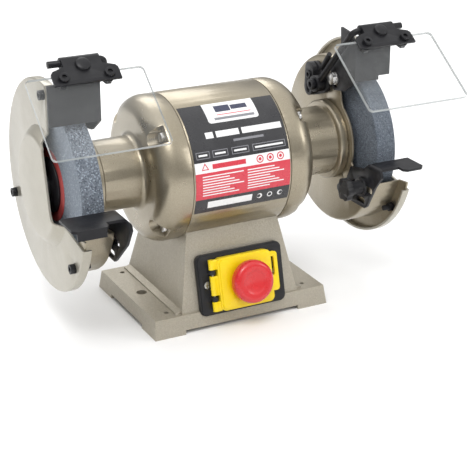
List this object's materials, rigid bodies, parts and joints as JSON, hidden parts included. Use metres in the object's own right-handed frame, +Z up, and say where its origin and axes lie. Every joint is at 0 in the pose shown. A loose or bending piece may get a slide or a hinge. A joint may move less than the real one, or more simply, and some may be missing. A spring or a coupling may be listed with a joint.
{
  "type": "bench grinder",
  "caption": "Twin-wheel bench grinder on a cast pedestal base, with wheel guards, spark arresters, clear eye shields, adjustable tool rests and a flap switch with a stop mushroom.",
  "frame": {"origin": "on the bench plane, centre of the two bench bolt holes, below the middle of the spindle", "axes": "+X along the spindle to the operator's right, +Y away from the operator, +Z up"},
  "size_m": [0.392, 0.2253, 0.2675],
  "materials": {
    "casting_paint": "textured satin paint",
    "metallic_paint": "metallic champagne paint",
    "bell_paint": "metallic champagne paint",
    "black_paint": "satin black paint",
    "zinc": "zinc plated",
    "ground_steel": "ground",
    "core_steel": "laminated",
    "copper": "enamelled copper wire",
    "grit": "coarse vitrified grit",
    "blotter": "matt",
    "label": "printed film",
    "clear": "clear",
    "black_plastic": "fine grain",
    "yellow_plastic": "smooth",
    "red_plastic": "smooth",
    "green_plastic": "smooth"
  },
  "bodies": {
    "frame": {"base_casting": "casting_paint", "base_plate": "zinc", "base_plate_screws": "zinc", "run_capacitor": "black_plastic", "capacitor_strap": "zinc", "cord_gland": "black_plastic", "motor_shell": "metallic_paint", "data_label": "label", "stator_core": "core_steel", "stator_windings": "copper", "end_bell_left": "bell_paint", "end_bell_right": "bell_paint", "motor_bolts": "zinc", "pedestal_bolts": "zinc", "bearing_outer_rings": "ground_steel", "guard_left": "metallic_paint", "guard_right": "metallic_paint", "guard_bolts": "zinc", "cover_left": "metallic_paint", "cover_right": "metallic_paint", "cover_screws": "black_paint", "spark_bolts": "zinc", "arm_clamp_left": "black_plastic", "arm_clamp_right": "black_plastic", "arm_clamp_bolts": "black_paint", "rest_studs": "zinc", "switch_bezel": "black_plastic", "switch_body": "black_plastic", "bezel_screws": "zinc", "flap_pin": "zinc"},
    "spindle": {"spindle": "ground_steel", "rotor": "core_steel", "bearing_inner_rings": "ground_steel", "wheel_left": "grit", "wheel_right": "grit", "blotters_left": "blotter", "blotters_right": "blotter", "inner_flanges": "zinc", "outer_flanges": "zinc", "spindle_nuts": "zinc"},
    "balls": {"bearing_balls": "ground_steel"},
    "rest_left": {"tool_rest_left": "black_paint"},
    "knob_left": {"rest_knob_left": "black_plastic"},
    "spark_left": {"spark_arrester_left": "black_paint"},
    "arm_left": {"shield_arm_left": "black_paint"},
    "shield_left": {"shield_bracket_left": "black_paint", "shield_screws_left": "black_paint", "eye_shield_left": "clear"},
    "rest_right": {"tool_rest_right": "black_paint"},
    "knob_right": {"rest_knob_right": "black_plastic"},
    "spark_right": {"spark_arrester_right": "black_paint"},
    "arm_right": {"shield_arm_right": "black_paint"},
    "shield_right": {"shield_bracket_right": "black_paint", "shield_screws_right": "black_paint", "eye_shield_right": "clear"},
    "flap": {"switch_flap": "yellow_plastic"},
    "mushroom": {"stop_mushroom": "red_plastic"},
    "start": {"start_button": "green_plastic"},
    "stop": {"stop_button": "red_plastic"}
  },
  "joints": [
    {"name": "spindle_spin", "type": "hinge", "parent": "frame", "child": "spindle", "pos_m": [0, 0, 0.141], "axis": [1, 0, 0], "continuous": true},
    {"name": "ball_orbit", "type": "hinge", "parent": "frame", "child": "balls", "pos_m": [0, 0, 0.141], "axis": [1, 0, 0], "continuous": true},
    {"name": "rest_slide_left", "type": "slide", "parent": "frame", "child": "rest_left", "axis": [0, -1, 0], "range_m": [-0.001, 0.012]},
    {"name": "rest_knob_turn_left", "type": "hinge", "parent": "frame", "child": "knob_left", "pos_m": [-0.129, -0.066, 0.108], "axis": [-1, 0, 0], "range_deg": [0, 180]},
    {"name": "spark_adjust_left", "type": "slide", "parent": "frame", "child": "spark_left", "axis": [0, 0, 1], "range_m": [-0.002, 0.003]},
    {"name": "arm_pivot_left", "type": "hinge", "parent": "frame", "child": "arm_left", "pos_m": [-0.129, 0.00856, 0.19509], "axis": [-1, 0, 0], "range_deg": [-3, 36]},
    {"name": "shield_tilt_left", "type": "hinge", "parent": "arm_left", "child": "shield_left", "pos_m": [-0.144, -0.048, 0.2625], "axis": [-1, 0, 0], "range_deg": [-12, 60]},
    {"name": "rest_slide_right", "type": "slide", "parent": "frame", "child": "rest_right", "axis": [0, -1, 0], "range_m": [-0.001, 0.012]},
    {"name": "rest_knob_turn_right", "type": "hinge", "parent": "frame", "child": "knob_right", "pos_m": [0.129, -0.066, 0.1125], "axis": [1, 0, 0], "range_deg": [0, 180]},
    {"name": "spark_adjust_right", "type": "slide", "parent": "frame", "child": "spark_right", "axis": [0, 0, 1], "range_m": [-0.002, 0.003]},
    {"name": "arm_pivot_right", "type": "hinge", "parent": "frame", "child": "arm_right", "pos_m": [0.129, 0.00856, 0.19509], "axis": [-1, 0, 0], "range_deg": [0, 39]},
    {"name": "shield_tilt_right", "type": "hinge", "parent": "arm_right", "child": "shield_right", "pos_m": [0.144, -0.05201, 0.25892], "axis": [-1, 0, 0], "range_deg": [-12, 60]},
    {"name": "flap_hinge", "type": "hinge", "parent": "frame", "child": "flap", "pos_m": [-0.0305, -0.06745, 0.04292], "axis": [0, -0.2303, -0.9731], "range_deg": [0, 100]},
    {"name": "mushroom_press", "type": "slide", "parent": "flap", "child": "mushroom", "axis": [0, 0.9731, -0.2303], "range_m": [0, 0.003], "stiffness_N_per_m": 700, "springref_m": -0.002},
    {"name": "start_press", "type": "slide", "parent": "frame", "child": "start", "axis": [0, 0.9731, -0.2303], "range_m": [0, 0.003], "stiffness_N_per_m": 600, "springref_m": -0.002},
    {"name": "stop_press", "type": "slide", "parent": "frame", "child": "stop", "axis": [0, 0.9731, -0.2303], "range_m": [0, 0.003], "stiffness_N_per_m": 600, "springref_m": -0.002}
  ],
  "couplings": [
    {"joint": "ball_orbit", "follows": "spindle_spin", "ratio": 0.3817},
    {"joint": "stop_press", "follows": "mushroom_press", "ratio": 1}
  ]
}
